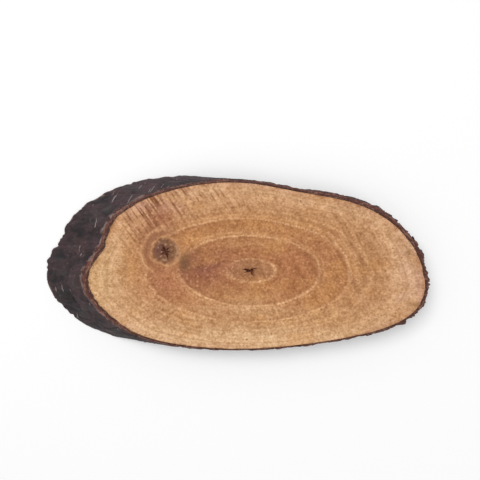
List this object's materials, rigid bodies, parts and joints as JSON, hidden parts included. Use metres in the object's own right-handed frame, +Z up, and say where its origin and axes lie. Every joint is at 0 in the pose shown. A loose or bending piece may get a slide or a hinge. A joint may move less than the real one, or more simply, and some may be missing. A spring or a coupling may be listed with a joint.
{
  "type": "wood slice",
  "caption": "Long oval slice of a thin branch, sawn at a slant with the bark left on, with growth rings, an off-centre pith and a healed knot.",
  "frame": {"origin": "on the surface the slice lies on, under the middle of the whole slice", "axes": "+Z up through the thickness, +X along the long axis of the oval towards the end that the upper face overhangs, +Y across it"},
  "size_m": [0.1023, 0.0457, 0.007],
  "materials": {
    "wood": "dry sawn wood, unsealed, with near-black bark round the edge"
  },
  "bodies": {
    "root": {"wood_slice": "wood"}
  },
  "joints": []
}
